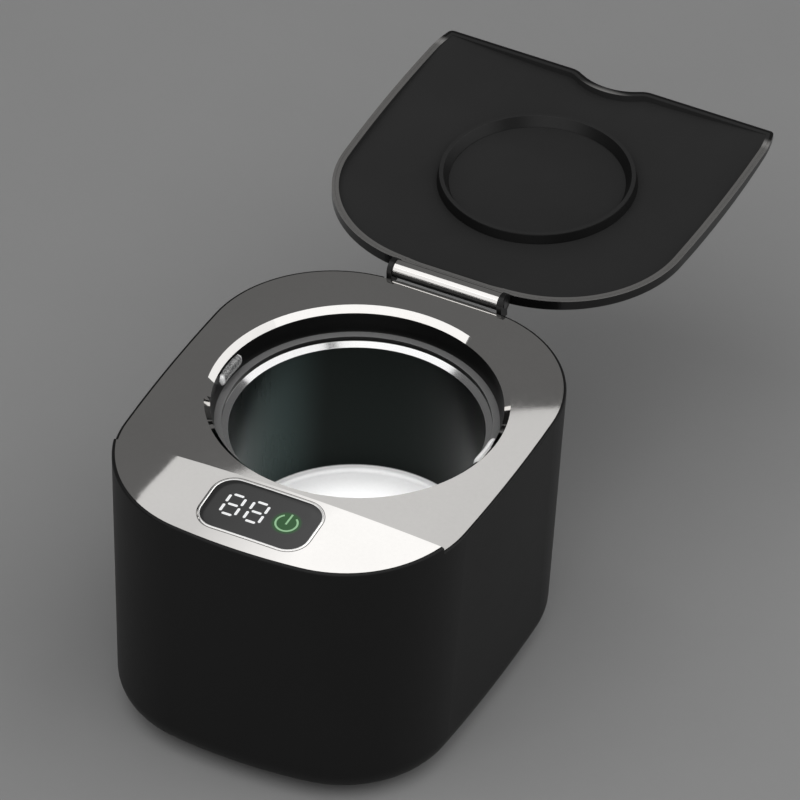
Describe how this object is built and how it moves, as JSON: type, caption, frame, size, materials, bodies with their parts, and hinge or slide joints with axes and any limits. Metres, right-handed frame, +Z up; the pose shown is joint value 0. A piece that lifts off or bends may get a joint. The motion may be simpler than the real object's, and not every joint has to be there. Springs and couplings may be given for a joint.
{
  "type": "ultraviolet ultrasonic cleaner",
  "caption": "Small ultrasonic cleaner with a round steel tank, lamps in its collar, a domed control panel and a hinged lid with a finger notch.",
  "frame": {"origin": "on the tank's axis, in the plane that the feet stand on", "axes": "+Z up along the tank's axis, +Y to the back where the lid lies when it is open, +X to the right seen from the front"},
  "size_m": [0.1006, 0.2216, 0.0799],
  "materials": {
    "casing_black": "matte black moulded plastic",
    "base_black": "fine-grained black plastic",
    "foot_rubber": "matte rubber",
    "trim_silver": "satin mirror",
    "collar_black": "semi-gloss black",
    "tank_steel": "polished sheet",
    "clamp_steel": "plain sheet",
    "seal_rubber": "matte rubber",
    "lens_clear": "clear",
    "window_dark": "smoked, glossy",
    "display_white": "diffusing white",
    "key_green": "translucent green",
    "board_green": "lacquered board",
    "screw_steel": "zinc plated",
    "coupling_aluminium": "machined",
    "piezo_ceramic": "fired ceramic",
    "winding_yellow": "taped winding",
    "coil_copper": "enamelled copper wire",
    "capacitor_grey": "sleeved can",
    "sink_aluminium": "extruded",
    "jack_black": "moulded",
    "yoke_black": "dark lacquer",
    "hinge_chrome": "polished",
    "lid_gloss": "gloss black",
    "liner_matte": "matte black"
  },
  "bodies": {
    "base": {"outer_casing": "casing_black", "base_cover": "base_black", "rubber_feet": "foot_rubber", "base_screws": "screw_steel", "top_trim": "trim_silver", "trim_screws": "screw_steel", "display_window": "window_dark", "digit_module": "display_white", "touch_key": "key_green", "display_board": "board_green", "display_screws": "screw_steel", "collar": "collar_black", "collar_screws": "screw_steel", "lamp_lens_left": "lens_clear", "lamp_lens_right": "lens_clear", "lamp_board_left": "board_green", "lamp_board_right": "board_green", "tank_gasket": "seal_rubber", "tank": "tank_steel", "clamp_ring": "clamp_steel", "clamp_screws": "screw_steel", "coupling_block": "coupling_aluminium", "piezo_disc": "piezo_ceramic", "drive_board": "board_green", "drive_screws": "screw_steel", "transformer": "winding_yellow", "drive_coil": "coil_copper", "capacitor": "capacitor_grey", "heat_sink": "sink_aluminium", "inlet_jack": "jack_black", "hinge_yoke": "yoke_black", "yoke_screws": "screw_steel", "hinge_pin": "screw_steel"},
    "lid": {"hinge_barrel": "hinge_chrome", "lid_shell": "lid_gloss", "lid_liner": "liner_matte"}
  },
  "joints": [
    {"name": "lid_hinge", "type": "hinge", "parent": "base", "child": "lid", "pos_m": [0, 0.0529, 0.07725], "axis": [1, 0, 0], "range_deg": [0, 180]}
  ]
}
